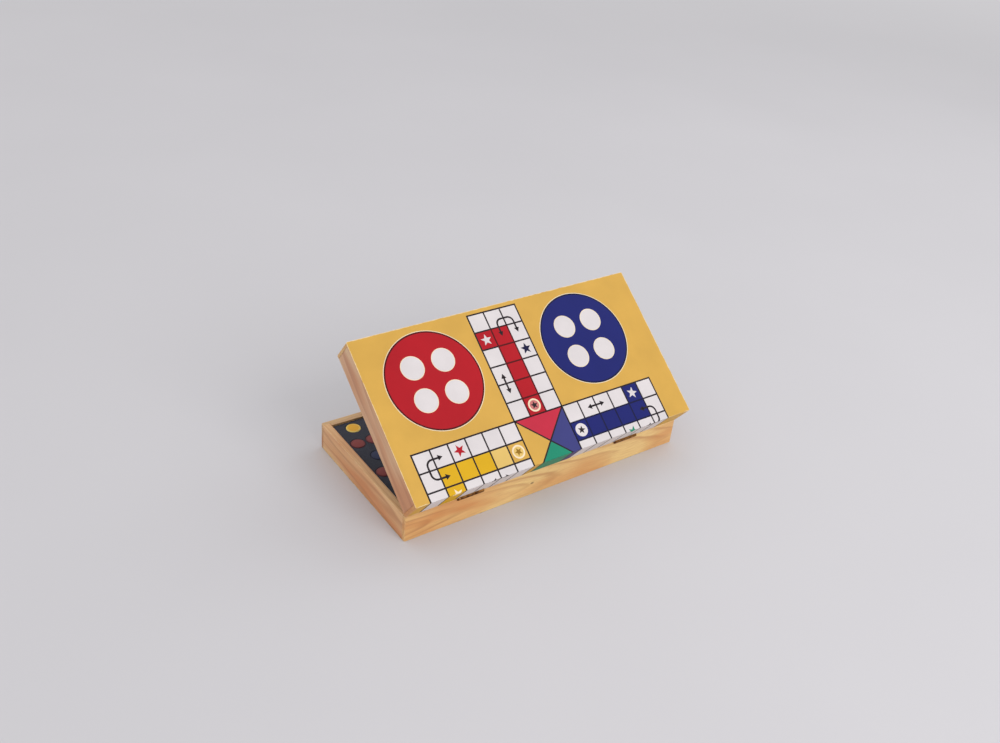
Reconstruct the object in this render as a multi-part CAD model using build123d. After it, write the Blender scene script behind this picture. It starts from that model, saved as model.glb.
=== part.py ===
from build123d import *
import os

# Folding magnetic ludo box: two shallow wooden trays hinged along one long edge.
# Millimetres. X runs along the hinge, +Y from the hinge side to the opening side, +Z up.
# The origin is the centre of the tray's underside. Both halves are drawn with the lid
# shut, and the lid's pieces are then swung open by rest_angle about the hinge axis.

# Overall form of one half
board_length = 254.0        # along the hinge
half_depth = 127.0          # hinge side to opening side
half_height = 22.0          # rim to printed face
wall = 6.0                  # thickness of the four walls
corner_radius = 1.2         # upright outer corners
rest_angle = 36.5           # how far the lid stands open

# Corner joints and board face
lap_depth = 3.0             # tongue left on the front and back walls
rabbet_width = 3.0          # ledge that the panel sits on
panel_thickness = 2.5
steel_thickness = 0.4       # sheet that the magnets hold to
print_thickness = 0.3       # printed vinyl
panel_gap = 0.1             # panel to rabbet, all round

# Butt hinges, set in the rims
hinge_inset = 54.0          # hinge centre from the end of the box
hinge_length = 22.0
barrel_radius = 1.6
knuckle_count = 3
knuckle_gap = 0.2
barrel_clearance = 0.25     # barrel to the cove in the wood, and to the other leaf
leaf_thickness = 0.8
leaf_margin = 0.7           # wood left between leaf and inner face
leaf_recess = 0.1           # leaf below its rim
leaf_gap = 0.1              # leaf to the sides of its mortise
pin_radius = 0.7
pin_clearance = 0.05
pin_head_radius = 1.1
pin_head_height = 0.3

# Countersunk screws of the hinges
screw_spacing = 13.0        # the two screws of one leaf, centre to centre
screw_radius = 0.8
screw_head_radius = 1.5
screw_head_height = 0.6
screw_length = 7.0
screw_clearance = 0.05      # shank to its hole, and head to its countersink
screw_point_length = 1.6

# Swing hook on the lid and catch pin on the tray
hook_pivot_height = 9.0     # above the rim
catch_drop = 8.0            # catch pin below the rim
hook_width = 2.0
hook_thickness = 1.2
hook_eye_radius = 2.9
hook_toe = 2.4              # straight end past the crook
hook_stand_off = 0.2        # hook to wall
hook_head_gap = 0.2         # hook to the heads over it
hook_rest_swing = 95.0      # how far the hook is swung aside from its latched place
hook_screw_radius = 1.0
hook_screw_head_radius = 2.2
hook_screw_depth = 5.0      # in the wood
catch_radius = 1.1
catch_head_radius = 2.0
catch_depth = 4.5           # in the wood
catch_clearance = 0.15      # catch pin to the hook's crook
head_dome = 0.9             # height of both round heads

# Counters and dice
counter_radius = 5.75
counter_height = 4.2
counter_top_round = 0.7
counter_foot_chamfer = 0.3
counter_crown = 0.25        # rise of the slightly domed top
magnet_radius = 4.0
magnet_height = 1.5
magnet_gap = 0.1            # around and below the magnet
die_size = 12.0
die_round = 1.5
pip_radius = 1.15
pip_depth = 0.35
pip_spacing = 3.1

# Foam insert in the tray and foam pad in the lid
foam_drop = 1.5             # foam's top below the rim
foam_gap = 0.3              # foam to the walls
well_gap = 0.2              # counter or die to its well
counter_well_depth = 3.8
die_well_depth = 10.0
well_edge = 1.2             # foam left between the first column of wells and its edge
well_pitch_x = 13.0
well_rows = 6
well_row_edge = 2.5         # foam left between the outermost rows of wells and its edge
die_row = 4                 # this row of one holds a die instead of a counter
pad_thickness = 3.0

# Colours of the counters, well by well: left end, then right end, from the opening side
counter_colours = [
    "yellow", "red", "red", "blue", "red", "red", "blue", "blue",
    "yellow", "green", "green", "yellow", "green", "green", "yellow", "blue",
]

# Worked out from the sizes above
half_x = board_length / 2
half_y = half_depth / 2
rim = half_height
core_bottom = print_thickness
panel_bottom = core_bottom + steel_thickness
floor = panel_bottom + panel_thickness
hinge_axis = Axis((0, -half_y, rim), (1, 0, 0))
foam_top = rim - foam_drop
well_radius = counter_radius + well_gap
well_pitch_y = 2 * (half_y - wall - foam_gap - well_row_edge - well_radius) / (well_rows - 1)
counter_base = foam_top - counter_well_depth
die_base = foam_top - die_well_depth
leaf_width = wall - leaf_margin
crook_radius = catch_radius + catch_clearance + hook_width / 2
hook_reach = hook_pivot_height + catch_drop
hook_inner_y = half_y + hook_stand_off
hook_outer_y = hook_inner_y + hook_thickness
hook_place = Pos(0, 0, rim + hook_pivot_height)
catch_place = Pos(-crook_radius, 0, rim - catch_drop)


def block(x, y, z):
    """A box from three (low, high) pairs."""
    sizes = [high - low for low, high in (x, y, z)]
    centre = [(low + high) / 2 for low, high in (x, y, z)]
    return Pos(*centre) * Box(*sizes)


def x_cylinder(radius, low, high, y=-half_y, z=rim):
    """A cylinder along X, on the hinge axis unless told otherwise."""
    turn = Rot(0, 90, 0)
    return Pos((low + high) / 2, y, z) * turn * Cylinder(radius, high - low)


def outline(thickness, bottom):
    """The full footprint of a half, with its rounded corners, as a slab."""
    sketch = RectangleRounded(board_length, half_depth, corner_radius)
    return Pos(0, 0, bottom) * extrude(sketch, thickness)


# Halves of the box. Each function draws the lower half, floor down.

def over(shape):
    """The same piece in the upper half: mirrored in the rim plane."""
    return shape.mirror(Plane.XY.offset(rim))


def opened(shape):
    """A lid piece swung from shut to where the lid stands at rest."""
    return shape.rotate(hinge_axis, rest_angle)


def panel_pocket():
    reach_x, reach_y = half_x - rabbet_width, half_y - rabbet_width
    return block((-reach_x, reach_x), (-reach_y, reach_y), (core_bottom, floor))


def long_wall(side):
    """Front (side -1) or back (side 1) wall, lapped over the ends of the short walls."""
    body = outline(rim - core_bottom, core_bottom)
    inner_y = half_y - wall
    tongue_y = half_y - lap_depth
    span = sorted((side * inner_y, side * half_y))
    lap = sorted((side * (inner_y - wall), side * tongue_y))
    body &= block((-half_x, half_x), span, (core_bottom, rim))
    for end in (-1, 1):
        shoulder = sorted((end * (half_x - wall), end * (half_x + wall)))
        body -= block(shoulder, lap, (core_bottom, rim))
    return body - panel_pocket()


def short_wall(side):
    """Left (side -1) or right (side 1) wall, between the tongues of the long walls."""
    span = sorted((side * (half_x - wall), side * half_x))
    reach = half_y - lap_depth
    return block(span, (-reach, reach), (core_bottom, rim)) - panel_pocket()


def core_sheet(bottom, thickness):
    """Plywood panel or steel sheet in the rabbet."""
    reach_x = half_x - rabbet_width - panel_gap
    reach_y = half_y - rabbet_width - panel_gap
    return block((-reach_x, reach_x), (-reach_y, reach_y), (bottom, bottom + thickness))


def hinge_flap():
    """The part of the lid's print that is carried over its hinge side, drawn floor down."""
    reach = half_x - corner_radius
    return block((-reach, reach), (-half_y, -half_y + print_thickness), (0, rim))


# Hinges

def hinge_centres():
    return [-half_x + hinge_inset, half_x - hinge_inset]


def knuckle_spans(centre, owner):
    """X spans of the knuckles of one leaf: owner 0 has the outer ones, 1 the rest."""
    pitch = hinge_length / knuckle_count
    start = centre - hinge_length / 2
    return [
        (start + i * pitch + knuckle_gap / 2, start + (i + 1) * pitch - knuckle_gap / 2)
        for i in range(owner, knuckle_count, 2)
    ]


def screw_places(centre):
    y = -half_y + (barrel_radius + leaf_width) / 2
    return [(centre + side * screw_spacing / 2, y) for side in (-1, 1)]


def screw(clearance=0.0):
    """Countersunk wood screw, head up, the top of its head at Z = 0."""
    shank = screw_radius + clearance
    head = screw_head_radius + clearance
    profile = Plane.XZ * Polygon(
        (0, 0), (head, 0), (shank, -screw_head_height),
        (shank, screw_point_length - screw_length), (0, -screw_length - clearance),
        align=None,
    )
    return revolve(profile, Axis.Z)


def leaf_screws(clearance=0.0):
    top = rim - leaf_recess
    return [
        Pos(x, y, top) * screw(clearance)
        for centre in hinge_centres() for x, y in screw_places(centre)
    ]


def hinge_leaf(centre, owner):
    """One leaf of a butt hinge, with its knuckles, lying in the lower half's rim."""
    reach = hinge_length / 2
    top = rim - leaf_recess
    leaf = block(
        (centre - reach, centre + reach), (-half_y, -half_y + leaf_width),
        (top - leaf_thickness, top),
    )
    for low, high in knuckle_spans(centre, 1 - owner):
        leaf -= x_cylinder(barrel_radius + barrel_clearance, low - knuckle_gap, high + knuckle_gap)
    for low, high in knuckle_spans(centre, owner):
        leaf += x_cylinder(barrel_radius, low, high)
    leaf -= x_cylinder(pin_radius + pin_clearance, centre - reach, centre + reach)
    for x, y in screw_places(centre):
        leaf -= Pos(x, y, top) * screw(screw_clearance)
    return leaf


def hinge_pin(centre):
    """Hinge pin with a low head at each end."""
    reach = hinge_length / 2
    pin = x_cylinder(pin_radius, centre - reach, centre + reach)
    for low in (centre - reach - pin_head_height, centre + reach):
        pin += x_cylinder(pin_head_radius, low, low + pin_head_height)
    return pin


def hinge_seats():
    """What the hinges take out of the lower half's front wall: mortise, cove, screw holes."""
    seats = []
    for centre in hinge_centres():
        reach = hinge_length / 2 + leaf_gap
        cove = hinge_length / 2 + pin_head_height + barrel_clearance
        seats.append(block(
            (centre - reach, centre + reach),
            (-half_y, -half_y + leaf_width + leaf_gap),
            (rim - leaf_recess - leaf_thickness, rim),
        ))
        seats.append(x_cylinder(barrel_radius + barrel_clearance, centre - cove, centre + cove))
    return seats + leaf_screws(screw_clearance)


# Closure. Y runs out of the back wall, and the parts are drawn with the hook latched.

def back_pin(radius, depth, head_radius, head_y):
    """Round-headed pin along Y in the back wall, its head starting at head_y."""
    tip, top = half_y - depth, head_y + head_dome
    with BuildSketch() as profile:
        with BuildLine():
            Polyline((0, top), (0, tip), (radius, tip), (radius, head_y), (head_radius, head_y))
            TangentArc((0, top), (head_radius, head_y), tangent=(1, 0))
        make_face()
    return revolve(profile.sketch, Axis.Y)


def back_hole(radius, depth):
    """Hole for such a pin, from just inside the wall's face."""
    return Pos(0, half_y - depth / 2, 0) * Rot(90, 0, 0) * Cylinder(radius, depth)


def hook():
    """Swing hook: eye, straight shank, crook under the catch pin and a short toe."""
    crook_centre = Vector(-crook_radius, -hook_reach)
    with BuildSketch() as flat:
        with BuildLine():
            bend = CenterArc(crook_centre, crook_radius, -90, 90)
            Line(bend @ 0 - Vector(hook_toe, 0), bend @ 0)
            Line(bend @ 1, (0, 0))
        trace(line_width=hook_width)
        Circle(hook_eye_radius)
        Circle(hook_screw_radius + pin_clearance, mode=Mode.SUBTRACT)
    plate = Rot(90, 0, 0) * extrude(flat.sketch, hook_thickness)
    return hook_place * Pos(0, hook_outer_y, 0) * plate


def aside(shape):
    """The hook swung from latched to where it hangs at rest."""
    pivot = Axis((0, 0, rim + hook_pivot_height), (0, 1, 0))
    return shape.rotate(pivot, -hook_rest_swing)


# Counters, dice and the foam that holds them

def well_places():
    """Wells at each end in rows of one and two in turn, counted from the opening side."""
    first = half_x - wall - foam_gap - well_edge - well_radius
    places = []
    for end in (-1, 1):
        for row in range(well_rows):
            y = ((well_rows - 1) / 2 - row) * well_pitch_y
            kind = "die" if row == die_row else "counter"
            for column in (0.5,) if row % 2 == 0 else (0, 1):
                places.append((kind, end * (first - column * well_pitch_x), y))
    return places


def counter():
    """Disc with a rounded edge, a slightly crowned top and a recess for its magnet."""
    shoulder = counter_height - counter_crown
    flat_radius = counter_radius - counter_top_round
    recess = magnet_radius + magnet_gap
    ceiling = magnet_height + magnet_gap
    with BuildSketch(Plane.XZ) as profile:
        with BuildLine():
            Polyline(
                (0, counter_height), (0, ceiling), (recess, ceiling), (recess, 0),
                (counter_radius - counter_foot_chamfer, 0),
                (counter_radius, counter_foot_chamfer),
                (counter_radius, shoulder - counter_top_round),
            )
            TangentArc(
                (counter_radius, shoulder - counter_top_round), (flat_radius, shoulder),
                tangent=(0, 1),
            )
            TangentArc((0, counter_height), (flat_radius, shoulder), tangent=(1, 0))
        make_face()
    return revolve(profile.sketch, Axis.Z)


def magnet():
    """Disc magnet, glued to the ceiling of the recess."""
    return Pos(0, 0, magnet_gap + magnet_height / 2) * Cylinder(magnet_radius, magnet_height)


def pip_pattern(count):
    """Pip centres of one face, in the face's own plane."""
    s = pip_spacing
    corners = [(-s, -s), (s, s), (-s, s), (s, -s)]
    sides = [(-s, 0), (s, 0)]
    even = count - count % 2
    return (corners + sides)[:even] + [(0, 0)] * (count % 2)


def die():
    """Rounded cube with dished pips, opposite faces adding up to seven."""
    half = die_size / 2
    body = Box(die_size, die_size, die_size)
    body = fillet(body.edges(), die_round)
    ball = (pip_radius**2 + pip_depth**2) / (2 * pip_depth)
    faces = [
        (1, Rot(0, 0, 0)), (6, Rot(180, 0, 0)), (2, Rot(90, 0, 0)),
        (5, Rot(-90, 0, 0)), (3, Rot(0, 90, 0)), (4, Rot(0, -90, 0)),
    ]
    for count, turn in faces:
        for x, y in pip_pattern(count):
            body -= turn * Pos(x, y, half + ball - pip_depth) * Sphere(ball)
    return Pos(0, 0, half) * body


def foam_insert():
    reach_x, reach_y = half_x - wall - foam_gap, half_y - wall - foam_gap
    foam = block((-reach_x, reach_x), (-reach_y, reach_y), (floor, foam_top))
    pocket = die_size / 2 + well_gap
    for kind, x, y in well_places():
        if kind == "die":
            foam -= block((x - pocket, x + pocket), (y - pocket, y + pocket), (die_base, rim))
        else:
            height = rim - counter_base
            foam -= Pos(x, y, counter_base + height / 2) * Cylinder(well_radius, height)
    return foam


def foam_pad():
    """Pad under the lid's panel, drawn floor down."""
    reach_x, reach_y = half_x - wall - foam_gap, half_y - wall - foam_gap
    return block((-reach_x, reach_x), (-reach_y, reach_y), (floor, floor + pad_thickness))


# Assembly: node name to shape

def half_core():
    """The pieces that both halves have, drawn floor down."""
    return {
        "front_wall": long_wall(-1),
        "back_wall": long_wall(1),
        "left_wall": short_wall(-1),
        "right_wall": short_wall(1),
        "panel": core_sheet(panel_bottom, panel_thickness),
        "steel_sheet": core_sheet(core_bottom, steel_thickness),
        "print": outline(print_thickness, 0),
    }


def tray():
    pieces = half_core()
    for seat in hinge_seats():
        pieces["front_wall"] -= seat
    pieces["back_wall"] -= catch_place * back_hole(catch_radius + screw_clearance, catch_depth)
    pieces["foam"] = foam_insert()
    return {"tray_" + name: shape for name, shape in pieces.items()}


def lid():
    pieces = half_core()
    pieces["print"] += hinge_flap()
    pieces["front_wall"] -= hinge_flap()
    for seat in hinge_seats():
        pieces["front_wall"] -= seat
        pieces["print"] -= seat
    pieces["pad"] = foam_pad()
    pieces = {"lid_" + name: over(shape) for name, shape in pieces.items()}
    hole = back_hole(hook_screw_radius + screw_clearance, hook_screw_depth)
    pieces["lid_back_wall"] -= hook_place * hole
    return {name: opened(shape) for name, shape in pieces.items()}


def hinges():
    pieces = {}
    for side, centre in zip(("left", "right"), hinge_centres()):
        pieces[side + "_hinge_tray_leaf"] = hinge_leaf(centre, 0)
        pieces[side + "_hinge_lid_leaf"] = opened(over(hinge_leaf(centre, 1)))
    pieces["hinge_pins"] = Compound(children=[hinge_pin(c) for c in hinge_centres()])
    pieces["tray_hinge_screws"] = Compound(children=leaf_screws())
    pieces["lid_hinge_screws"] = Compound(children=[opened(over(s)) for s in leaf_screws()])
    return pieces


def closure():
    head_y = hook_outer_y + hook_head_gap
    screw_shape = back_pin(hook_screw_radius, hook_screw_depth, hook_screw_head_radius, head_y)
    catch = back_pin(catch_radius, catch_depth, catch_head_radius, head_y)
    return {
        "hook": opened(aside(hook())),
        "hook_screw": opened(hook_place * screw_shape),
        "catch_pin": catch_place * catch,
    }


def playing_pieces():
    pieces = {}
    wells = [place for place in well_places() if place[0] == "counter"]
    made = {}
    for colour, (_, x, y) in zip(counter_colours, wells):
        made[colour] = made.get(colour, 0) + 1
        place = Pos(x, y, counter_base)
        pieces[f"{colour}_counter_{made[colour]}"] = place * counter()
        pieces[f"{colour}_magnet_{made[colour]}"] = place * magnet()
    dice = [place for place in well_places() if place[0] == "die"]
    for side, (_, x, y) in zip(("left", "right"), dice):
        pieces["die_" + side] = Pos(x, y, die_base) * die()
    return pieces


os.makedirs("parts", exist_ok=True)
for name, shape in {**tray(), **lid(), **hinges(), **closure(), **playing_pieces()}.items():
    export_step(shape, f"parts/{name}.step")
    print(name)
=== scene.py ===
import math

import bmesh
import bpy
from mathutils import Matrix, Vector


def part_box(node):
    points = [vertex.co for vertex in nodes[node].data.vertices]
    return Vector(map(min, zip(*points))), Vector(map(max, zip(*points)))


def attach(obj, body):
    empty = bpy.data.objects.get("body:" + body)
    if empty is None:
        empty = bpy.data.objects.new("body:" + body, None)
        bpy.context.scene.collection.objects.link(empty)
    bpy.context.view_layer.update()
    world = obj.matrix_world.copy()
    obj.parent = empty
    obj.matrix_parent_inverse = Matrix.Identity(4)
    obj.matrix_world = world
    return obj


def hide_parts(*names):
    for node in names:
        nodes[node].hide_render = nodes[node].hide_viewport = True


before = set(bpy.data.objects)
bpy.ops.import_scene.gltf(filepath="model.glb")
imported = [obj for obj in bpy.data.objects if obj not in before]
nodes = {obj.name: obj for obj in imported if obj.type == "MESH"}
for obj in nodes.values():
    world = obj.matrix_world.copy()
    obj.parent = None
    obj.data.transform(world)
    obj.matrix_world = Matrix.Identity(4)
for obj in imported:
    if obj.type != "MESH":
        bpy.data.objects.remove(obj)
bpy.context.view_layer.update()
mm = 0.001
print("frame loaded with", len(nodes), "nodes")

# X runs along the hinge, +Y is the opening side, Z is up.
box = {
    "length": 254 * mm,
    "halfDepth": 127 * mm,
    "halfHeight": 22 * mm,
    "openAngle": math.radians(36.5),   # the lid's angle at rest
}
hingePoint = Vector((0, -box["halfDepth"] / 2, box["halfHeight"]))
lidTilt = Matrix.Rotation(box["openAngle"], 4, "X")
lidTurn = Matrix.Translation(hingePoint) @ lidTilt @ Matrix.Translation(-hingePoint)


# sRGB numbers from 0 to 255 as a linear colour
def tint(red, green, blue):
    linear = []
    for value in (red / 255, green / 255, blue / 255):
        linear.append(value / 12.92 if value <= 0.04045 else ((value + 0.055) / 1.055) ** 2.4)
    return (*linear, 1)


# Camera, a low three-quarter view from the hinge side
view = {
    "turn": -38.0,
    "height": 32.0,
    "roll": -6.0,
    "distance": 940 * mm,
    "lens": 38.0,
    "target": (62.0 * mm, 90.0 * mm, 0.0),
    "clipStart": 10 * mm,
}


def makeCamera():
    turn, height, roll = (math.radians(view[key]) for key in ("turn", "height", "roll"))
    back = Vector((
        math.sin(turn) * math.cos(height),
        -math.cos(turn) * math.cos(height),
        math.sin(height),
    ))
    right = Vector((math.cos(turn), math.sin(turn), 0))
    up = back.cross(right)
    rolledRight = math.cos(roll) * right - math.sin(roll) * up
    rolledUp = math.sin(roll) * right + math.cos(roll) * up
    camera = bpy.data.objects.new("camera", bpy.data.cameras.new("camera"))
    camera.matrix_world = (
        Matrix.Translation(Vector(view["target"]) + view["distance"] * back)
        @ Matrix((rolledRight, rolledUp, back)).transposed().to_4x4()
    )
    camera.data.lens = view["lens"]
    camera.data.clip_start = view["clipStart"]
    bpy.context.scene.collection.objects.link(camera)
    bpy.context.scene.camera = camera


# Studio: pale floor, soft lamps and an even world
studio = {
    "floorSize": 12.0,
    "floorDrop": 0.05 * mm,
    "floorColour": tint(206, 204, 208),
    "floorPatch": 0.97,
    "floorMottleScale": 300.0,
    "floorPatchScale": 3.0,
    "floorRoughness": 0.7,
    "backdrop": (0.62, 0.61, 0.63, 1),
    "fadeFrom": 0.8,   # the floor runs into the backdrop's colour between these distances
    "fadeTo": 2.6,
    "worldLight": 0.8,
    "lampsAim": (0, 0, 40 * mm),
    "lamps": [   # name, place, size, watts
        ("keyLamp", (0.15, -1.30, 0.95), 0.8, 7.5),
        ("sideLamp", (1.15, 0.10, 0.95), 0.9, 2.2),
        ("backLamp", (-0.25, 1.1, 1.2), 1.0, 1.6),
    ],
}


def makeStudio():
    bpy.context.scene.view_settings.view_transform = "Standard"
    mesh = bpy.data.meshes.new("floor")
    bm = bmesh.new()
    bmesh.ops.create_grid(bm, x_segments=1, y_segments=1, size=studio["floorSize"] / 2)
    bmesh.ops.translate(bm, verts=bm.verts, vec=(0, 0, -studio["floorDrop"]))
    bm.to_mesh(mesh)
    bm.free()
    floor = bpy.data.objects.new("floor", mesh)
    bpy.context.scene.collection.objects.link(floor)
    mesh.materials.append(finishes["floor"])
    for name, place, size, watts in studio["lamps"]:
        light = bpy.data.lights.new(name, "AREA")
        light.size, light.energy = size, watts
        lamp = bpy.data.objects.new(name, light)
        aim = (Vector(place) - Vector(studio["lampsAim"])).to_track_quat("Z", "Y")
        lamp.matrix_world = Matrix.Translation(place) @ aim.to_matrix().to_4x4()
        bpy.context.scene.collection.objects.link(lamp)
    world = bpy.data.worlds.new("studio")
    bpy.context.scene.world = world
    world.use_nodes = True
    tree = world.node_tree
    glow = tree.nodes["Background"]
    glow.inputs["Color"].default_value = (1, 1, 1, 1)
    glow.inputs["Strength"].default_value = studio["worldLight"]
    seen = node(tree, "Background", {"Color": studio["backdrop"], "Strength": 1.0})
    both = node(tree, "MixShader", {0: seenRays(tree), 1: glow.outputs[0], 2: seen.outputs[0]})
    tree.links.new(both.outputs[0], tree.nodes["World Output"].inputs["Surface"])


# A shader node with its sockets wired or set
def node(tree, kind, sockets=None, **settings):
    made = tree.nodes.new("ShaderNode" + kind)
    for key, value in settings.items():
        setattr(made, key, value)
    for key, value in (sockets or {}).items():
        if isinstance(value, bpy.types.NodeSocket):
            tree.links.new(value, made.inputs[key])
        else:
            made.inputs[key].default_value = value
    return made


# 1 for the rays by which a backdrop is seen, and 0 for those that light the object
def seenRays(tree):
    rays = node(tree, "LightPath")
    shown = node(tree, "Math", {0: rays.outputs["Is Camera Ray"], 1: rays.outputs["Is Glossy Ray"]},
                 operation="MAXIMUM")
    shown = node(tree, "Math", {0: shown.outputs[0], 1: rays.outputs["Is Transmission Ray"]},
                 operation="MAXIMUM")
    return shown.outputs[0]


# Two colours, or two numbers, mixed by a mask
def blendColours(tree, mask, first, second, how="MIX"):
    mixed = node(tree, "Mix", {0: mask, 6: first, 7: second}, data_type="RGBA", blend_type=how)
    return mixed.outputs[2]


def blendNumbers(tree, mask, low, high):
    spread = node(tree, "MapRange", {"Value": mask, "To Min": low, "To Max": high})
    return spread.outputs[0]


def newGroup(name, inputs, outputs):
    tree = bpy.data.node_groups.new(name, "ShaderNodeTree")
    for label, kind, value in inputs:
        socket = tree.interface.new_socket(label, in_out="INPUT", socket_type="NodeSocket" + kind)
        if value is not None:
            socket.default_value = value
    for label, kind in outputs:
        tree.interface.new_socket(label, in_out="OUTPUT", socket_type="NodeSocket" + kind)
    return tree, tree.nodes.new("NodeGroupInput").outputs, tree.nodes.new("NodeGroupOutput").inputs


# Growth rings as contours of a tree that lies along X, with fibres and slow changes of tone
grain = {
    "stretch": (0.16, 1, 1),        # how long the rings' waves are along the tree
    "fibreStretch": (0.03, 1, 1),
    "waves": 46.0,
    "ringSpread": 130.0,            # how fast the width of the rings changes, and by how much
    "ringUneven": 1.6,
    "spring": 0.2,                  # how dark the early and the late wood of a ring are
    "summer": 1.0,
    "ringFade": 60.0,
    "fibres": 1500.0,
    "tone": 70.0,
    "broadTone": 12.0,
}


def makeGrainGroup():
    tree, given, result = newGroup(
        "boardGrain",
        [("Vector", "Vector", None), ("Rings", "Float", 420.0), ("Wander", "Float", 0.007)],
        [("Rings", "Float"), ("Fibres", "Float"), ("Tone", "Float")],
    )
    slow = node(tree, "VectorMath", {0: given["Vector"], 1: grain["stretch"]}, operation="MULTIPLY")
    warp = node(tree, "TexNoise", {
        "Vector": slow.outputs[0], "Scale": grain["waves"], "Detail": 2.0})
    shift = node(tree, "VectorMath", {0: warp.outputs["Color"], 1: (0.5, 0.5, 0.5)},
                 operation="SUBTRACT")
    shift = node(tree, "VectorMath", {0: shift.outputs[0], "Scale": given["Wander"]},
                 operation="SCALE")
    bent = node(tree, "VectorMath", {0: given["Vector"], 1: shift.outputs[0]}, operation="ADD")
    across = node(tree, "VectorMath", {0: bent.outputs[0], 1: (0, 1, 1)}, operation="MULTIPLY")
    away = node(tree, "VectorMath", {0: across.outputs[0]}, operation="LENGTH")
    uneven = node(tree, "TexNoise", {
        "Vector": away.outputs["Value"], "Scale": grain["ringSpread"], "Detail": 1.0})
    uneven = node(tree, "Math", {0: uneven.outputs["Fac"], 1: grain["ringUneven"]},
                  operation="MULTIPLY")
    count = node(tree, "Math", {0: away.outputs["Value"], 1: given["Rings"], 2: uneven.outputs[0]},
                 operation="MULTIPLY_ADD")
    step = node(tree, "Math", {0: count.outputs[0]}, operation="FRACT")
    ring = node(tree, "ValToRGB", {0: step.outputs[0]})
    ring.color_ramp.interpolation = "EASE"
    stops = ring.color_ramp.elements
    stops[0].position, stops[0].color = 0.0, (0.05, 0.05, 0.05, 1)
    stops[1].position, stops[1].color = 1.0, (0.05, 0.05, 0.05, 1)
    for place, level in ((0.45, grain["spring"]), (0.8, grain["summer"])):
        stop = stops.new(place)
        stop.color = (level, level, level, 1)
    fade = node(tree, "TexNoise", {
        "Vector": slow.outputs[0], "Scale": grain["ringFade"], "Detail": 1.0})
    fade = node(tree, "MapRange", {"Value": fade.outputs["Fac"], "From Min": 0.36, "From Max": 0.62,
                                   "To Min": 0.15})
    ring = node(tree, "Math", {0: ring.outputs[0], 1: fade.outputs[0]}, operation="MULTIPLY")
    tree.links.new(ring.outputs[0], result["Rings"])
    thin = node(tree, "VectorMath", {0: bent.outputs[0], 1: grain["fibreStretch"]},
                operation="MULTIPLY")
    fibres = node(tree, "TexNoise", {
        "Vector": thin.outputs[0], "Scale": grain["fibres"], "Detail": 3.0})
    tree.links.new(fibres.outputs["Fac"], result["Fibres"])
    tone = node(tree, "TexNoise", {
        "Vector": slow.outputs[0], "Scale": grain["tone"], "Detail": 2.0})
    broad = node(tree, "TexNoise", {
        "Vector": given["Vector"], "Scale": grain["broadTone"], "Detail": 1.0})
    tone = node(tree, "Math", {0: tone.outputs["Fac"], 1: broad.outputs["Fac"]}, operation="ADD")
    spread = node(tree, "MapRange", {"Value": tone.outputs[0], "From Min": 0.82, "From Max": 1.16})
    tree.links.new(spread.outputs[0], result["Tone"])
    return tree


# Fine unevenness for plastic, vinyl, foam and metal
def makeMottleGroup():
    tree, given, result = newGroup(
        "mottle",
        [("Scale", "Float", 400.0), ("Patch Scale", "Float", 30.0)],
        [("Fine", "Float"), ("Patches", "Float"), ("Cells", "Float")],
    )
    place = node(tree, "TexCoord").outputs["Object"]
    fine = node(tree, "TexNoise", {"Vector": place, "Scale": given["Scale"], "Detail": 3.0})
    patches = node(tree, "TexNoise", {
        "Vector": place, "Scale": given["Patch Scale"], "Detail": 3.0})
    spread = node(tree, "MapRange", {
        "Value": patches.outputs["Fac"], "From Min": 0.3, "From Max": 0.7})
    cells = node(tree, "TexVoronoi", {"Vector": place, "Scale": given["Scale"]})
    tree.links.new(fine.outputs["Fac"], result["Fine"])
    tree.links.new(spread.outputs[0], result["Patches"])
    tree.links.new(cells.outputs["Distance"], result["Cells"])
    return tree


# How close a point is to the edges of a box, with a ragged border
rub = {"rags": 240.0, "narrowest": 0.25, "widest": 1.6}


def makeRubGroup():
    tree, given, result = newGroup(
        "edgeRub",
        [("Vector", "Vector", None), ("Middle", "Vector", (0, 0, 0)),
         ("Half Size", "Vector", (1, 1, 1)), ("Width", "Float", 1 * mm)],
        [("Rub", "Float")],
    )
    offset = node(tree, "VectorMath", {0: given["Vector"], 1: given["Middle"]},
                  operation="SUBTRACT")
    folded = node(tree, "VectorMath", {0: offset.outputs[0]}, operation="ABSOLUTE")
    inside = node(tree, "VectorMath", {0: given["Half Size"], 1: folded.outputs[0]},
                  operation="SUBTRACT")
    x, y, z = node(tree, "SeparateXYZ", {0: inside.outputs[0]}).outputs
    # on a face one of the three is nothing, so the middle one is the way to the nearest edge
    low = node(tree, "Math", {0: x, 1: y}, operation="MINIMUM").outputs[0]
    high = node(tree, "Math", {0: x, 1: y}, operation="MAXIMUM").outputs[0]
    capped = node(tree, "Math", {0: high, 1: z}, operation="MINIMUM").outputs[0]
    nearest = node(tree, "Math", {0: low, 1: capped}, operation="MAXIMUM").outputs[0]
    ragged = node(tree, "TexNoise", {
        "Vector": given["Vector"], "Scale": rub["rags"], "Detail": 4.0})
    reach = node(tree, "MapRange", {
        "Value": ragged.outputs["Fac"], "From Min": 0.3, "From Max": 0.7,
        "To Min": rub["narrowest"], "To Max": rub["widest"],
    })
    reach = node(tree, "Math", {0: reach.outputs[0], 1: given["Width"]}, operation="MULTIPLY")
    worn = node(tree, "MapRange", {
        "Value": nearest, "From Min": 0.0, "From Max": reach.outputs[0],
        "To Min": 1.0, "To Max": 0.0,
    }, interpolation_type="SMOOTHSTEP")
    tree.links.new(worn.outputs[0], result["Rub"])
    return tree


groups = {"grain": makeGrainGroup(), "mottle": makeMottleGroup(), "rub": makeRubGroup()}
finishes = {}


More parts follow.
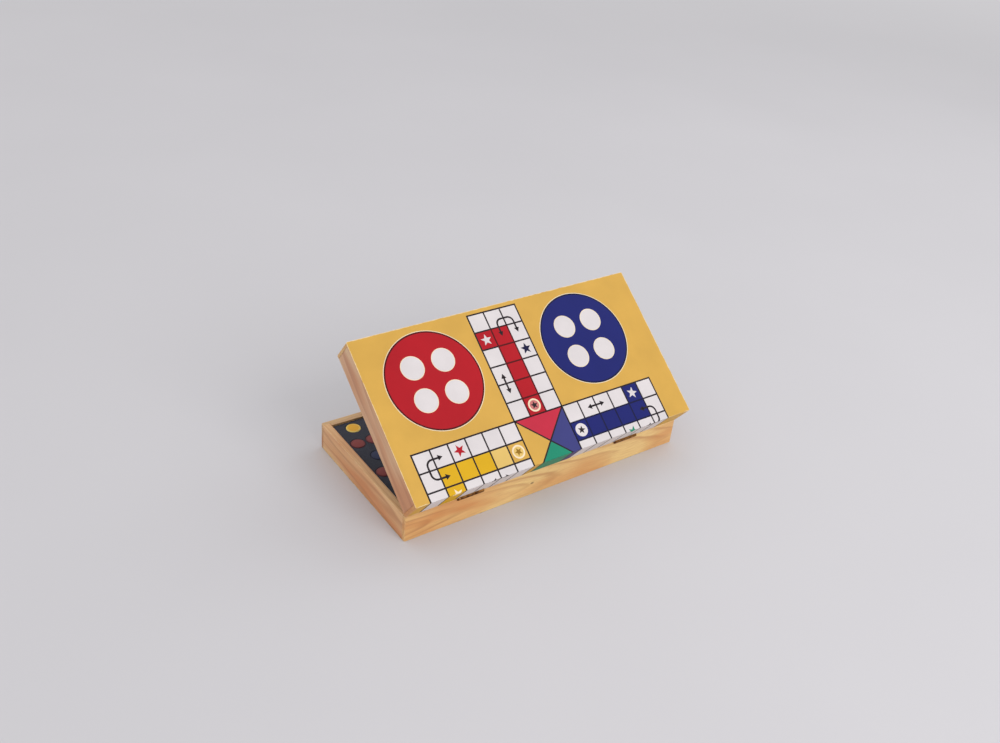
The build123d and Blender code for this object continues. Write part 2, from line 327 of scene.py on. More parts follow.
def newFinish(name, roughness=0.5, metallic=0.0):
    made = bpy.data.materials.new(name)
    made.use_nodes = True
    shader = made.node_tree.nodes["Principled BSDF"]
    shader.inputs["Roughness"].default_value = roughness
    shader.inputs["Metallic"].default_value = metallic
    finishes[name] = made
    return made.node_tree, shader.inputs


def useGroup(tree, name, sockets):
    return node(tree, "Group", sockets, node_tree=groups[name]).outputs


# Object coordinates, taken back to the shut lid's place for the lid's pieces
def shutPlace(tree, half):
    place = node(tree, "TexCoord").outputs["Object"]
    if half == "lid":
        place = node(tree, "Mapping", {
            "Vector": place, "Location": hingePoint, "Rotation": (box["openAngle"], 0, 0),
        }, vector_type="TEXTURE").outputs[0]
        place = node(tree, "VectorMath", {0: place, 1: hingePoint}, operation="ADD").outputs[0]
    return place


def rubbedEdge(tree, place, half, width):
    middle = (0, 0, box["halfHeight"] * (1.5 if half == "lid" else 0.5))
    reach = (box["length"] / 2, box["halfDepth"] / 2, box["halfHeight"] / 2)
    return useGroup(tree, "rub", {
        "Vector": place, "Middle": middle, "Half Size": reach, "Width": width,
    })["Rub"]


def addBump(tree, shader, height, depth):
    bump = node(tree, "Bump", {"Height": height, "Distance": depth, "Strength": 1.0})
    tree.links.new(bump.outputs[0], shader["Normal"])


# Varnished pine
pine = {
    "pale": tint(240, 204, 136),
    "warm": tint(217, 150, 88),
    "ring": tint(176, 106, 58),
    "fibre": tint(200, 146, 92),
    "worn": tint(238, 204, 152),
    "rubWidth": 0.8 * mm,
    "rubStrength": 0.5,
    "ringStrength": 0.6,
    "ringCount": 400.0,
    "fibreStrength": 0.45,
    "knot": tint(96, 62, 36),
    "knotStretch": 0.55,
    "knotCore": 0.4 * mm,
    "roughness": 0.42,
    "relief": 0.06 * mm,
}
# Heart of the tree (x, y, z in mm), how far the board leans off it (degrees), whether it lies
# along Y, the knots on its face (x and height from the middle, and radius, in mm), and its tone,
# which is painted shade: a tint that darkens the boards, and makes them pinker, on the box's shaded
# sides
walls = {
    "tray_front_wall": ((-40, -44, 9), (0.6, 3.2), False, [(-16.5, -0.2, 1.17)], (1.0, 1.0, 1.0)),
    "tray_back_wall": ((0, 46, 60), (1.0, 1.6), False, [], (0.79, 0.74, 0.88)),
    "tray_left_wall": ((0, -60, -30), (2.0, 1.5), True, [], (1.0, 0.94, 1.12)),
    "tray_right_wall": ((0, 44, -36), (-1.6, 1.0), True, [], (0.93, 0.90, 0.92)),
    "lid_front_wall": ((0, -48, 40), (1.4, -2.4), False, [], (0.95, 0.92, 0.90)),
    "lid_back_wall": ((0, 30, 54), (-1.2, 1.8), False, [], (0.97, 0.94, 0.94)),
    "lid_left_wall": ((0, -52, 66), (1.8, -1.2), True, [], (0.93, 0.96, 1.42)),
    "lid_right_wall": ((0, 50, 62), (1.2, 1.2), True, [], (0.93, 0.90, 0.92)),
}


def makePine(wall):
    pith, lean, alongY, knots, tone = walls[wall]
    tree, shader = newFinish("pine_" + wall, pine["roughness"])
    half = wall.split("_")[0]
    place = shutPlace(tree, half)
    turn = math.pi / 2 if alongY else 0
    tilt = (math.radians(lean[0]), math.radians(lean[1]))
    along = Matrix.Rotation(turn, 3, "Z")
    aim = along @ Matrix.Rotation(tilt[0], 3, "Y") @ Matrix.Rotation(tilt[1], 3, "Z")
    heart = along @ (Vector(pith) * mm)
    grained = node(tree, "Mapping", {
        "Vector": place, "Location": heart, "Rotation": aim.to_euler(),
    }, vector_type="TEXTURE").outputs[0]
    figure = useGroup(tree, "grain", {"Vector": grained, "Rings": pine["ringCount"]})
    colour = blendColours(tree, figure["Tone"], pine["warm"], pine["pale"])
    rings = node(tree, "Math", {0: figure["Rings"], 1: pine["ringStrength"]}, operation="MULTIPLY")
    colour = blendColours(tree, rings.outputs[0], colour, pine["ring"])
    fibres = node(tree, "MapRange", {"Value": figure["Fibres"], "From Min": 0.42, "From Max": 0.75,
                                     "To Max": pine["fibreStrength"]})
    colour = blendColours(tree, fibres.outputs[0], colour, pine["fibre"])
    for x, height, radius in knots:
        middle = (x * mm, -box["halfDepth"] / 2, box["halfHeight"] / 2 + height * mm)
        gap = node(tree, "VectorMath", {0: place, 1: middle}, operation="SUBTRACT")
        gap = node(tree, "VectorMath", {0: gap.outputs[0], 1: (pine["knotStretch"], 0, 1)},
                   operation="MULTIPLY")
        gap = node(tree, "VectorMath", {0: gap.outputs[0]}, operation="LENGTH")
        core = node(tree, "MapRange", {
            "Value": gap.outputs["Value"], "From Min": pine["knotCore"], "From Max": radius * mm,
            "To Min": 0.8, "To Max": 0.0,
        })
        colour = blendColours(tree, core.outputs[0], colour, pine["knot"])
    # painted shade: each board is tinted for how the light falls on its side of the box
    colour = blendColours(tree, 1.0, colour, (*tone, 1), "MULTIPLY")
    worn = rubbedEdge(tree, place, half, pine["rubWidth"])
    worn = node(tree, "Math", {0: worn, 1: pine["rubStrength"]}, operation="MULTIPLY")
    colour = blendColours(tree, worn.outputs[0], colour, pine["worn"])
    tree.links.new(colour, shader["Base Color"])
    sheen = blendNumbers(tree, figure["Fibres"], pine["roughness"] - 0.1, pine["roughness"] + 0.12)
    tree.links.new(sheen, shader["Roughness"])
    relief = node(tree, "Math", {0: figure["Rings"], 1: figure["Fibres"]}, operation="ADD")
    addBump(tree, shader, relief.outputs[0], pine["relief"])


# Printed vinyl: inks of one colour each, mottled, with rubbed outer edges on the ground sheet
inks = {
    "ground": (212, 166, 77),
    "white": (219, 212, 213),
    "cream": (240, 222, 190),
    "dark": (40, 32, 36),
    "red": (177, 14, 30),
    "blue": (22, 30, 108),
    "yellow": (218, 170, 20),
    "green": (28, 138, 108),
    "maroon": (84, 8, 14),
    "navy": (16, 18, 60),
    "ochre": (150, 112, 30),
    "pine": (10, 66, 50),
    "rose": (196, 42, 66),
    "indigo": (60, 62, 124),
    "straw": (226, 190, 108),
    "blush": (204, 120, 118),
}
vinyl = {
    "roughness": 0.5,
    "gloss": 0.2,
    "mottle": 0.05,
    "mottleScale": 900.0,
    "patchScale": 38.0,
    "relief": 0.02 * mm,
    "worn": tint(236, 214, 170),
    "rubWidth": 0.7 * mm,
}


def makeInk(name, half=None):
    label = "ink_" + name + ("_" + half if half else "")
    tree, shader = newFinish(label, vinyl["roughness"])
    shader["Specular IOR Level"].default_value = vinyl["gloss"]
    base = tint(*inks[name])
    mottle = useGroup(tree, "mottle", {
        "Scale": vinyl["mottleScale"], "Patch Scale": vinyl["patchScale"]})
    darker = tuple(c * (1 - vinyl["mottle"]) for c in base[:3]) + (1,)
    lighter = tuple(min(1, c * (1 + vinyl["mottle"])) for c in base[:3]) + (1,)
    colour = blendColours(tree, mottle["Patches"], darker, lighter)
    if half:   # the ground sheet is the one that reaches the box's edges
        worn = rubbedEdge(tree, shutPlace(tree, half), half, vinyl["rubWidth"])
        colour = blendColours(tree, worn, colour, vinyl["worn"])
    tree.links.new(colour, shader["Base Color"])
    sheen = blendNumbers(tree, mottle["Fine"], vinyl["roughness"] - 0.07, vinyl["roughness"] + 0.1)
    tree.links.new(sheen, shader["Roughness"])
    addBump(tree, shader, mottle["Fine"], vinyl["relief"])


# Closed-cell foam
foam = {
    "cell": tint(36, 38, 47),
    "skin": tint(77, 79, 93),
    "patch": tint(59, 60, 71),
    "cellScale": 1400.0,
    "patchScale": 60.0,
    "roughness": 0.92,
    "relief": 0.22 * mm,
    "edge": 0.35 * mm,   # how far the edges of the cut sheet are softened
    "sharp": math.radians(50),
}


def makeFoam():
    tree, shader = newFinish("foam", foam["roughness"])
    mottle = useGroup(tree, "mottle", {
        "Scale": foam["cellScale"], "Patch Scale": foam["patchScale"]})
    colour = blendColours(tree, mottle["Cells"], foam["cell"], foam["skin"])
    colour = blendColours(tree, mottle["Patches"], colour, foam["patch"])
    tree.links.new(colour, shader["Base Color"])
    addBump(tree, shader, mottle["Cells"], foam["relief"])


# Plastic of the counters and dice: face, and a counter's ring where its domed top falls away
# The ring is painted light: a painted highlight on the yellow counters, painted shade on the rest
plastics = {
    "yellow": ((243, 180, 36), (244, 212, 112)),
    "red": ((141, 53, 49), (98, 30, 36)),
    "blue": ((32, 42, 84), (22, 28, 62)),
    "green": ((20, 126, 84), (14, 100, 66)),
    "die": ((236, 232, 224), None),
    "pip": ((26, 24, 26), None),
}
gloss = {
    "roughness": 0.38,
    "pipRoughness": 0.5,
    "specular": 0.35,
    "patch": 0.9,
    "mottleScale": 700.0,
    "patchScale": 120.0,
    "relief": 0.02 * mm,
    "paintedRingFrom": 0.9972,   # upward part of the normal where the ring begins, and where it is full
    "paintedRingTo": 0.9955,
}


def makePlastic(name):
    roughness = gloss["pipRoughness" if name == "pip" else "roughness"]
    tree, shader = newFinish("plastic_" + name, roughness)
    shader["Specular IOR Level"].default_value = gloss["specular"]
    face, ring = plastics[name]
    base = tint(*face)
    mottle = useGroup(tree, "mottle", {
        "Scale": gloss["mottleScale"], "Patch Scale": gloss["patchScale"]})
    darker = tuple(c * gloss["patch"] for c in base[:3]) + (1,)
    colour = blendColours(tree, mottle["Patches"], darker, base)
    # painted highlight and painted shade on the dome's falling edge, placed by the slope of the
    # normal
    if ring:
        facing = node(tree, "SeparateXYZ", {0: node(tree, "TexCoord").outputs["Normal"]}).outputs[2]
        slope = node(tree, "Math", {0: facing}, operation="ABSOLUTE")
        turned = node(tree, "MapRange", {
            "Value": slope.outputs[0], "From Min": gloss["paintedRingFrom"], "From Max": gloss["paintedRingTo"]})
        colour = blendColours(tree, turned.outputs[0], colour, tint(*ring))
    tree.links.new(colour, shader["Base Color"])
    sheen = blendNumbers(tree, mottle["Fine"], roughness - 0.08, roughness + 0.12)
    tree.links.new(sheen, shader["Roughness"])
    addBump(tree, shader, mottle["Fine"], gloss["relief"])


metals = {   # bright, tarnished, roughness
    # the hinges' brass: its tarnished colour is real tarnish and also painted shade, darkened for
    # the hinges lying in shadow in their recesses
    "brass": ((168, 118, 66), (88, 54, 32), 0.4),
    "hookBrass": ((206, 160, 82), (130, 88, 42), 0.3),
    "screwBrass": ((200, 152, 78), (110, 72, 36), 0.32),
    "steel": ((176, 178, 182), (130, 130, 134), 0.4),
    "magnet": ((188, 188, 190), (140, 138, 136), 0.28),
}
tarnish = {"mottleScale": 2600.0, "patchScale": 420.0, "relief": 0.01 * mm}


def makeMetal(name):
    bright, dull, roughness = metals[name]
    tree, shader = newFinish(name, roughness, metallic=1.0)
    mottle = useGroup(tree, "mottle", {
        "Scale": tarnish["mottleScale"], "Patch Scale": tarnish["patchScale"]})
    colour = blendColours(tree, mottle["Patches"], tint(*bright), tint(*dull))
    tree.links.new(colour, shader["Base Color"])
    sheen = blendNumbers(tree, mottle["Patches"], roughness - 0.06, roughness + 0.2)
    tree.links.new(sheen, shader["Roughness"])
    addBump(tree, shader, mottle["Fine"], tarnish["relief"])


plywood = {
    "pale": tint(224, 196, 150),
    "ring": tint(196, 158, 108),
    "ringCount": 90.0,
    "wander": 0.02,
    "roughness": 0.6,
    "relief": 0.05 * mm,
}


def makePly():
    tree, shader = newFinish("plywood", plywood["roughness"])
    place = node(tree, "TexCoord").outputs["Object"]
    figure = useGroup(tree, "grain", {
        "Vector": place, "Rings": plywood["ringCount"], "Wander": plywood["wander"]})
    colour = blendColours(tree, figure["Rings"], plywood["pale"], plywood["ring"])
    tree.links.new(colour, shader["Base Color"])
    addBump(tree, shader, figure["Fibres"], plywood["relief"])


def makeFloorFinish():
    tree, shader = newFinish("floor", studio["floorRoughness"])
    mottle = useGroup(tree, "mottle", {
        "Scale": studio["floorMottleScale"], "Patch Scale": studio["floorPatchScale"]})
    deeper = tuple(c * studio["floorPatch"] for c in studio["floorColour"][:3]) + (1,)
    colour = blendColours(tree, mottle["Patches"], deeper, studio["floorColour"])
    tree.links.new(colour, shader["Base Color"])
    place = node(tree, "TexCoord").outputs["Object"]
    away = node(tree, "VectorMath", {0: place}, operation="LENGTH")
    far = node(tree, "MapRange", {
        "Value": away.outputs["Value"],
        "From Min": studio["fadeFrom"], "From Max": studio["fadeTo"],
    }, interpolation_type="SMOOTHSTEP")
    far = node(tree, "Math", {0: far.outputs[0], 1: seenRays(tree)}, operation="MULTIPLY")
    glow = node(tree, "Emission", {"Color": studio["backdrop"], "Strength": 1.0})
    lit = tree.nodes["Principled BSDF"].outputs[0]
    both = node(tree, "MixShader", {0: far.outputs[0], 1: lit, 2: glow.outputs[0]})
    tree.links.new(both.outputs[0], tree.nodes["Material Output"].inputs["Surface"])


makeFloorFinish()
makeStudio()
makeCamera()
makeFoam()
makePly()
for name in inks:
    makeInk(name)
for half in ("lid", "tray"):
    makeInk("ground", half)
for name in metals:
    makeMetal(name)
for name in plastics:
    makePlastic(name)
print("finishes made:", len(finishes))


# A new piece from a bmesh, riding on a body. Narrow faces that aren't square to an axis are
# taken for parts of a curve and shaded smooth
shading = {"narrow": 1.0 * mm, "square": 0.9999, "sharp": math.radians(40)}


def addPiece(name, bm, body, materials, replaced=(), narrow=0.0):
    bm.normal_update()
    smooth = []
    for face in bm.faces:
        squareOn = max(abs(c) for c in face.normal) > shading["square"]
        smooth.append(not squareOn and 2 * face.calc_area() < narrow * face.calc_perimeter())
    mesh = bpy.data.meshes.new(name)
    bm.to_mesh(mesh)
    bm.free()
    stale = mesh.attributes.get("custom_normal")   # the CAD mesh's own, no longer right
    if stale:
        mesh.attributes.remove(stale)
    mesh.set_sharp_from_angle(angle=shading["sharp"])
    mesh.polygons.foreach_set("use_smooth", smooth)
    piece = bpy.data.objects.new(name, mesh)
    bpy.context.scene.collection.objects.link(piece)
    for material in materials:
        mesh.materials.append(finishes[material])
    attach(piece, body)
    if replaced:
        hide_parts(*replaced)
    return piece


# How near points count as one, as on the rim and as on the hinge line
closeBy = {"merge": 0.001 * mm, "rim": 0.01 * mm, "hingeLine": 0.5 * mm}


# A merged copy of a CAD mesh with its flat faces joined up again. flatness is in degrees
def mergedCopy(name, flatness=0.5):
    bm = bmesh.new()
    bm.from_mesh(nodes[name].data)
    bmesh.ops.remove_doubles(bm, verts=bm.verts, dist=closeBy["merge"])
    bmesh.ops.dissolve_limit(bm, angle_limit=math.radians(flatness), verts=bm.verts, edges=bm.edges)
    for face in bm.faces:
        face.material_index = 0
    return bm


# Faces that meet when the lid is shut are drawn back by a hair
def drawBack(bm, half, gap):
    if half == "lid":
        bmesh.ops.transform(bm, verts=bm.verts, matrix=lidTurn.inverted())
    for vert in bm.verts:
        if abs(vert.co.z - box["halfHeight"]) < closeBy["rim"]:
            vert.co.z += gap if half == "lid" else -gap
    if half == "lid":
        bmesh.ops.transform(bm, verts=bm.verts, matrix=lidTurn)


# Walls: long sharp edges eased as by sandpaper
easing = {"width": 0.45 * mm, "shortest": 18 * mm, "sharp": math.radians(50), "rimGap": 0.03 * mm}


def onHingeLine(place):
    away = place - hingePoint
    return math.hypot(away.y, away.z) < closeBy["hingeLine"]


def easedWall(name):
    bm = mergedCopy(name)
    body = name.split("_")[0]
    drawBack(bm, body, easing["rimGap"])
    edges = [
        edge for edge in bm.edges
        if len(edge.link_faces) == 2
        and edge.calc_length() > easing["shortest"]
        and edge.calc_face_angle() > easing["sharp"]
        and not all(onHingeLine(vert.co) for vert in edge.verts)   # there the two halves meet
    ]
    bmesh.ops.bevel(bm, geom=edges, offset=easing["width"], segments=3, profile=0.5,
                    affect="EDGES", material=-1, clamp_overlap=True)
    makePine(name)
    addPiece(name.replace("_wall", "_board"), bm, body, ["pine_" + name], [name],
             shading["narrow"])


for wall in walls:
    easedWall(wall)
print("walls made")


# The board's printed pattern, drawn flat about the middle of the open board: x to the right, y to
# the lid's opening edge, one ink over another
art = {
    "cell": 14.6 * mm,
    "left": 11.8 * mm,           # board's left edge to the cross
    "top": 3.8 * mm,             # lid's opening edge to the cross
    "line": 1.25 * mm,
    "pen": 1.45 * mm,
    "head": 2.5 * mm,
    "layer": 0.024 * mm,
    "layers": 6,
    "homeRadius": 38.5 * mm,
    "homeGap": 8.0 * mm,         # home circle to the arms beside it
    "homeDrop": 8.6 * mm,
    "spotRadius": 9.4 * mm,
    "spotOffset": 12.9 * mm,
    "spotRing": 0.5 * mm,
    "halo": 0.55 * mm,           # pale, and then a dark line, round a home circle
    "rim": 1.2 * mm,
    "wedgeTip": 0.875 * mm,      # middle's triangles: tip and corners, held clear of each other
    "wedgeCorner": 1.375 * mm,
    "notch": 0.3 * mm,           # left clear round a hinge barrel, and below it
    "notchFoot": 2 * mm,
    "flap": 21.7 * mm,           # print carried down the lid's hinge side
    "strip": 0.3 * mm,           # drawn out from beside the fold to fill the flap
    "foldGap": 0.06 * mm,
    "film": 0.9,                 # share of a layer that its ink fills
}
signs = {   # in cells, counted from the board's middle
    "star": 0.33,
    "starWaist": 0.42,           # share of the star's own radius
    "disc": 0.36,
    "discMiddle": 0.27,
    "discStar": 0.23,
    "turnFoot": 6.15,            # turning arrow over the end cell
    "turnTop": 6.62,
    "turnBend": 0.3,
    "pairLow": 3.12,             # arrow with two heads between the fourth and fifth cells
    "pairHigh": 3.88,
}
discSides = {"home": 128, "spot": 56, "sign": 40}
rimInks = {"red": "maroon", "blue": "navy", "yellow": "ochre", "green": "pine"}
wedgeInks = {"red": "rose", "blue": "indigo", "yellow": "ground", "green": "green"}
cell = art["cell"]
centre = (art["left"] + 7.5 * cell, art["top"] + 7.5 * cell)
fold = centre[1] - box["halfDepth"]   # the fold's y in the pattern's frame
sunk = art["layers"] * art["layer"]   # the ground sheet lies this much under the box's own face
players = ["red", "yellow", "green", "blue"]   # top, left, bottom, right


def toLayer(verts, layer):
    for vert in verts:
        vert.co.z = layer * art["layer"]


def addRectangle(bm, x0, x1, y0, y1, layer):
    made = bmesh.ops.create_grid(bm, x_segments=1, y_segments=1, size=0.5)["verts"]
    bmesh.ops.scale(bm, verts=made, vec=(abs(x1 - x0), abs(y1 - y0), 1))
    bmesh.ops.translate(bm, verts=made, vec=((x0 + x1) / 2, (y0 + y1) / 2, 0))
    toLayer(made, layer)


def addDisc(bm, x, y, radius, layer, kind):
    made = bmesh.ops.create_circle(bm, cap_ends=True, segments=discSides[kind],
                                   radius=radius)["verts"]
    bmesh.ops.translate(bm, verts=made, vec=(x, y, 0))
    toLayer(made, layer)


def addStar(bm, x, y, radius, layer):
    made = bmesh.ops.create_circle(bm, cap_ends=True, segments=10, radius=radius)["verts"]
    made.sort(key=lambda vert: math.atan2(vert.co.x, vert.co.y) % (2 * math.pi))
    bmesh.ops.scale(bm, verts=made[1::2], vec=(signs["starWaist"], signs["starWaist"], 1))
    bmesh.ops.translate(bm, verts=made, vec=(x, y, 0))
    toLayer(made, layer)


# A pen of one width that goes straight or round a bend
def drawPen(bm, x, y, heading, moves, width, layer):
    side = Vector((-math.sin(heading), math.cos(heading), 0))
    start = Vector((x, y, layer * art["layer"]))
    tip = [bm.verts.new(start - side * width / 2), bm.verts.new(start + side * width / 2)]
    edge = bm.edges.new(tip)
    spot, ahead = start.copy(), Vector((math.cos(heading), math.sin(heading), 0))
    for kind, amount, radius in moves:
        if kind == "go":
            grown = bmesh.ops.extrude_edge_only(bm, edges=[edge])["geom"]
            verts = [item for item in grown if isinstance(item, bmesh.types.BMVert)]
            bmesh.ops.translate(bm, verts=verts, vec=ahead * amount)
            spot = spot + ahead * amount
        else:
            angle = math.radians(amount)
            toCentre = Vector((-ahead.y, ahead.x, 0)) * math.copysign(radius, angle)
            grown = bmesh.ops.spin(bm, geom=[edge, *edge.verts], cent=spot + toCentre,
                                   axis=(0, 0, 1), angle=angle, steps=10)["geom_last"]
            turned = Matrix.Rotation(angle, 3, "Z")
            spot = spot + toCentre - turned @ toCentre
            ahead = turned @ ahead
        edge = next(item for item in grown if isinstance(item, bmesh.types.BMEdge))
    return spot, ahead


def addHead(bm, spot, ahead, size, layer):
    made = bmesh.ops.create_circle(bm, cap_ends=True, segments=3, radius=size)["verts"]
    turn = math.atan2(ahead.y, ahead.x) - math.atan2(made[0].co.y, made[0].co.x)
    bmesh.ops.rotate(bm, verts=made, cent=(0, 0, 0), matrix=Matrix.Rotation(turn, 3, "Z"))
    bmesh.ops.translate(bm, verts=made, vec=(spot.x, spot.y, 0))
    toLayer(made, layer)


# One arm of the cross with the home circle to its left, drawn upwards from the middle and then
# turned to its side. following is the next player round the board
def drawArm(sheets, player, following, turn):
    fresh = {ink: bmesh.new() for ink in inks}
    halfLine = art["line"] / 2
    halfCell = cell / 2 - halfLine   # within its lines
    rim = fresh[rimInks[player]]
    addRectangle(fresh["dark"], -1.5 * cell - halfLine, 1.5 * cell + halfLine,
                 1.5 * cell - halfLine, 7.5 * cell + halfLine, 1)
    if player != "yellow":   # the home column's own lines are a darker shade of its colour
        addRectangle(rim, -cell / 2 - halfLine, cell / 2 + halfLine, 1.5 * cell, 6.5 * cell, 2)
    for column in (-1, 0, 1):
        for row in range(6):   # counted from the outer end
            ink = "white"
            if (column == 0 and row > 0) or (column == -1 and row == 1):
                ink = player
            if player == "yellow" and column == 0 and row > 3:
                ink = "straw" if row == 4 else "ground"
            x, y = column * cell, (7 - row) * cell
            addRectangle(fresh[ink], x - halfCell, x + halfCell, y - halfCell, y + halfCell, 3)
    # start star, the next player's star, and the last cell before the middle
    warm = player in ("yellow", "red")
    star = signs["star"] * cell
    addStar(fresh["cream" if player == "yellow" else "white"], -cell, 6 * cell, star, 4)
    addStar(fresh["navy" if following == "blue" else following], cell, 5 * cell, star, 4)
    addDisc(fresh["cream" if warm else "white"], 0, 2 * cell, signs["disc"] * cell, 4, "sign")
    if warm:
        addDisc(fresh["straw" if player == "yellow" else "blush"], 0, 2 * cell,
                signs["discMiddle"] * cell, 5, "sign")
    addStar(fresh["ochre" if player == "yellow" else "dark"], 0, 2 * cell,
            signs["discStar"] * cell, 6)
    # arrows
    pen, head = art["pen"], art["head"]
    ink = fresh["dark"]
    foot, top, bend = (signs[key] * cell for key in ("turnFoot", "turnTop", "turnBend"))
    spot, ahead = drawPen(ink, 0, foot, math.pi / 2, [
        ("go", top - foot, 0), ("turn", -90, bend), ("go", cell - 2 * bend, 0),
        ("turn", -90, bend), ("go", top - foot, 0),
    ], pen, 5)
    addHead(ink, spot, ahead, head, 5)
    addHead(ink, Vector((0, foot, 0)), Vector((0, -1, 0)), head, 5)
    low, high = signs["pairLow"] * cell, signs["pairHigh"] * cell
    drawPen(ink, -cell, low, math.pi / 2, [("go", high - low, 0)], pen, 5)
    addHead(ink, Vector((-cell, low, 0)), Vector((0, -1, 0)), head, 5)
    addHead(ink, Vector((-cell, high, 0)), Vector((0, 1, 0)), head, 5)
    # the middle's triangle on this side
    wedge = bmesh.ops.create_circle(fresh[wedgeInks[player]], cap_ends=True, segments=3,
                                    radius=cell)["verts"]
    outer, top = 1.5 * cell - art["wedgeCorner"], 1.5 * cell - halfLine
    corners = ((0, art["wedgeTip"]), (outer, top), (-outer, top))
    for vert, (x, y) in zip(wedge, corners):
        vert.co = (x, y, 3 * art["layer"])
    # home circle to the left of the arm
    x = -1.5 * cell - art["homeGap"] - art["homeRadius"]
    y = 1.5 * cell + art["homeDrop"] + art["homeRadius"]
    addDisc(fresh["cream"], x, y, art["homeRadius"] + art["halo"], 1, "home")
    addDisc(rim, x, y, art["homeRadius"], 2, "home")
    addDisc(fresh[player], x, y, art["homeRadius"] - art["rim"], 3, "home")
    for side in (-1, 1):
        for lift in (-1, 1):
            spotX, spotY = x + side * art["spotOffset"], y + lift * art["spotOffset"]
            addDisc(fresh["cream"], spotX, spotY, art["spotRadius"], 4, "spot")
            addDisc(fresh["white"], spotX, spotY, art["spotRadius"] - art["spotRing"], 5, "spot")
    for ink, bm in fresh.items():
        bmesh.ops.rotate(bm, verts=bm.verts, cent=(0, 0, 0), matrix=Matrix.Rotation(turn, 3, "Z"))
        addTo(sheets[ink], bm)


def drawBoard():
    sheets = {ink: bmesh.new() for ink in inks}
    for place, player in enumerate(players):
        drawArm(sheets, player, players[place - 1], place * math.pi / 2)
    addRectangle(sheets["dark"], -1.5 * cell, 1.5 * cell, -1.5 * cell, 1.5 * cell, 1)
    return sheets


# The part of an ink between two heights of the pattern, face up
def cutBand(sheet, low, high, keep=lambda layer: True):
    bm = sheet.copy()
    gone = [face for face in bm.faces if not keep(round(face.verts[0].co.z / art["layer"]))]
    bmesh.ops.delete(bm, geom=gone, context="FACES")
    for height, upward in ((low, -1), (high, 1)):
        everything = [*bm.verts, *bm.edges, *bm.faces]
        bmesh.ops.bisect_plane(bm, geom=everything, plane_co=(0, height, 0),
                               plane_no=(0, upward, 0), clear_outer=True)
    for face in bm.faces:
        face.normal_update()
        if face.normal.z < 0:
            face.normal_flip()
    return bm


def addTo(target, bm):
    passing = bpy.data.meshes.new("passing")
    bm.to_mesh(passing)
    bm.free()
    target.from_mesh(passing)
    bpy.data.meshes.remove(passing)


# Inks on the flap stop round the hinge barrels
def cutNotches(bm, toBox):
    for hinge in ("left", "right"):
        low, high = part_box(hinge + "_hinge_tray_leaf")
        reach = (low[0] - toBox - art["notch"], high[0] - toBox + art["notch"])
        foot = high[2] + art["notchFoot"] - 2 * box["halfHeight"]
        for place, way in (((reach[0], 0, 0), (1, 0, 0)), ((reach[1], 0, 0), (1, 0, 0)),
                           ((0, foot, 0), (0, 1, 0))):
            everything = [*bm.verts, *bm.edges, *bm.faces]
            bmesh.ops.bisect_plane(bm, geom=everything, plane_co=place, plane_no=way)
        gone = []
        for face in bm.faces:
            middle = face.calc_center_median()
            if middle.y < foot and reach[0] < middle.x < reach[1]:
                gone.append(face)
        bmesh.ops.delete(bm, geom=gone, context="FACES")


def layPattern(half, sheets):
    toBox = centre[0] - box["length"] / 2
    for ink, sheet in sheets.items():
        bm = bmesh.new()
        if half == "lid":
            top = cutBand(sheet, fold + art["foldGap"], box["length"])
            bmesh.ops.translate(top, verts=top.verts, vec=(
                toBox, box["halfDepth"] / 2 - centre[1], 2 * box["halfHeight"] - sunk))
            addTo(bm, top)
            # over the fold: cells run on down the flap, and signs cross it at their own size
            cells = cutBand(sheet, fold - art["strip"], fold, lambda layer: layer < 4)
            bmesh.ops.translate(cells, verts=cells.verts, vec=(0, -fold, 0))
            bmesh.ops.scale(cells, verts=cells.verts, vec=(1, art["flap"] / art["strip"], 1))
            marks = cutBand(sheet, fold - cell / 2, fold, lambda layer: layer > 3)
            bmesh.ops.translate(marks, verts=marks.verts, vec=(0, -fold, 0))
            for part in (cells, marks):
                cutNotches(part, toBox)
                bmesh.ops.rotate(part, verts=part.verts, cent=(0, 0, 0),
                                 matrix=Matrix.Rotation(math.pi / 2, 3, "X"))
                bmesh.ops.translate(part, verts=part.verts, vec=(
                    toBox, sunk - box["halfDepth"] / 2, 2 * box["halfHeight"] - art["foldGap"]))
                addTo(bm, part)
            bmesh.ops.transform(bm, verts=bm.verts, matrix=lidTurn)
        else:
            under = cutBand(sheet, -box["length"], fold - art["foldGap"])
            bmesh.ops.rotate(under, verts=under.verts, cent=(0, 0, 0),
                             matrix=Matrix.Rotation(math.pi, 3, "X"))
            bmesh.ops.translate(under, verts=under.verts, vec=(
                toBox, centre[1] - 1.5 * box["halfDepth"], sunk))
            addTo(bm, under)
        if bm.faces:
            film = addPiece(half + "_print_" + ink, bm, half, ["ink_" + ink],
                            [half + "_print"]).modifiers.new("film", "SOLIDIFY")
            film.thickness, film.offset = art["film"] * art["layer"], -1
        else:
            bm.free()


def makeGround(half):
    bm = mergedCopy(half + "_print")
    if half == "tray":
        for vert in bm.verts:
            vert.co.z = max(vert.co.z, sunk)
    else:
        bmesh.ops.transform(bm, verts=bm.verts, matrix=lidTurn.inverted())
        for vert in bm.verts:
            vert.co.z = min(vert.co.z, 2 * box["halfHeight"] - sunk)
            vert.co.y = max(vert.co.y, sunk - box["halfDepth"] / 2)
        bmesh.ops.transform(bm, verts=bm.verts, matrix=lidTurn)
        drawBack(bm, half, 2 * easing["rimGap"])
    addPiece(half + "_print_sheet", bm, half, ["ink_ground_" + half],
             [half + "_print"], shading["narrow"])


sheets = drawBoard()
for half in ("lid", "tray"):
    makeGround(half)
    layPattern(half, sheets)
for sheet in sheets.values():
    sheet.free()
print("board pattern made")


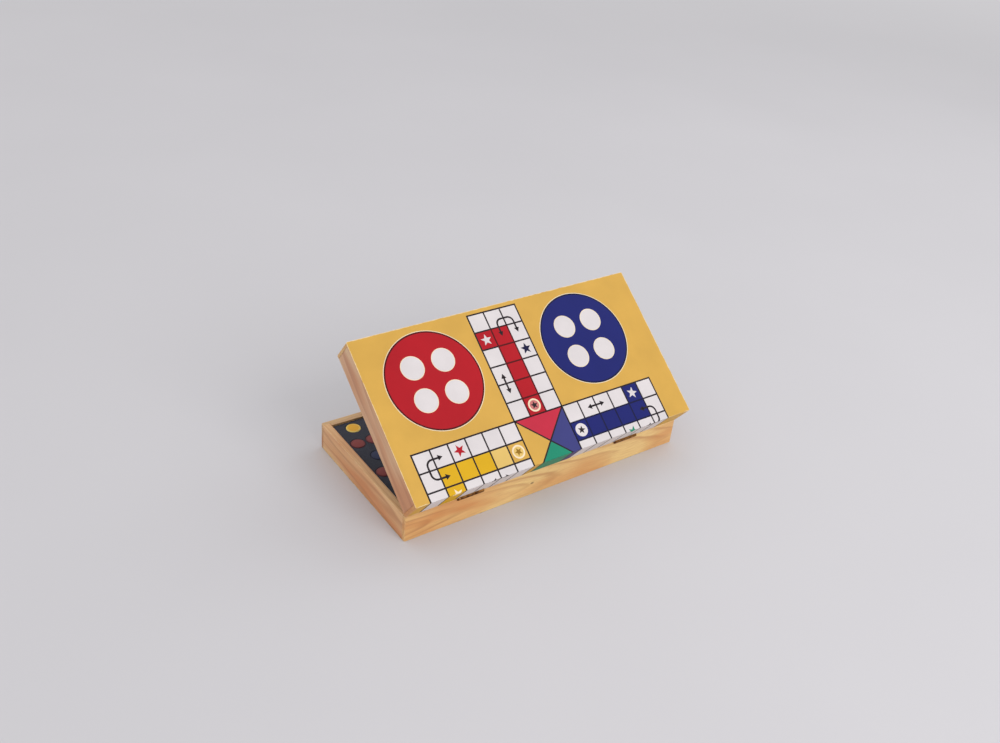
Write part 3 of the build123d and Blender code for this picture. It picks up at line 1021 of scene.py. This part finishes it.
# Foam insert with softened well edges, and the pad in the lid
def makeFoams():
    for name, body in (("tray_foam", "tray"), ("lid_pad", "lid")):
        bm = mergedCopy(name)
        edges = [edge for edge in bm.edges
                 if len(edge.link_faces) == 2 and edge.calc_face_angle() > foam["sharp"]]
        bmesh.ops.bevel(bm, geom=edges, offset=foam["edge"], segments=2, profile=0.5,
                        affect="EDGES", material=-1, clamp_overlap=True)
        piece = addPiece("foam_insert" if body == "tray" else "foam_pad", bm, body,
                         ["foam"], [name], shading["narrow"])


makeFoams()


# Dice: the CAD die with its dished pips painted
dice = {
    "flatness": 0.02,
    "dish": 0.008 * mm,   # a pip's faces lie deeper than this
    "border": 1.6 * mm,   # and further in from the die's sides than this
}


def makeDie(side):
    name = "die_" + side
    bm = mergedCopy(name, dice["flatness"])
    low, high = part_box(name)
    middle, reach = (Vector(low) + Vector(high)) / 2, (high[0] - low[0]) / 2
    for face in bm.faces:
        offset = face.calc_center_median() - middle
        depth = reach - max(abs(c) for c in offset)
        flat = sorted(abs(c) for c in offset)
        if depth > dice["dish"] and flat[1] < reach - dice["border"]:
            face.material_index = 1
    addPiece(name + "_body", bm, side + "_die", ["plastic_die", "plastic_pip"],
             [name], shading["narrow"])


for side in ("left", "right"):
    makeDie(side)


# CAD nodes that keep their shape get these finishes
kept = {
    "tray_panel": "plywood", "lid_panel": "plywood",
    "tray_steel_sheet": "steel", "lid_steel_sheet": "steel",
    "left_hinge_tray_leaf": "brass", "left_hinge_lid_leaf": "brass",
    "right_hinge_tray_leaf": "brass", "right_hinge_lid_leaf": "brass",
    "hinge_pins": "brass", "tray_hinge_screws": "screwBrass", "lid_hinge_screws": "screwBrass",
    "hook": "hookBrass", "hook_screw": "hookBrass", "catch_pin": "hookBrass",
}
for colour in ("yellow", "red", "blue", "green"):
    for count in range(1, 5):
        kept[f"{colour}_counter_{count}"] = "plastic_" + colour
        kept[f"{colour}_magnet_{count}"] = "magnet"
for name, finish in kept.items():
    for place in nodes[name].material_slots:
        place.material = finishes[finish]
print("finishes given to", len(kept), "kept nodes")
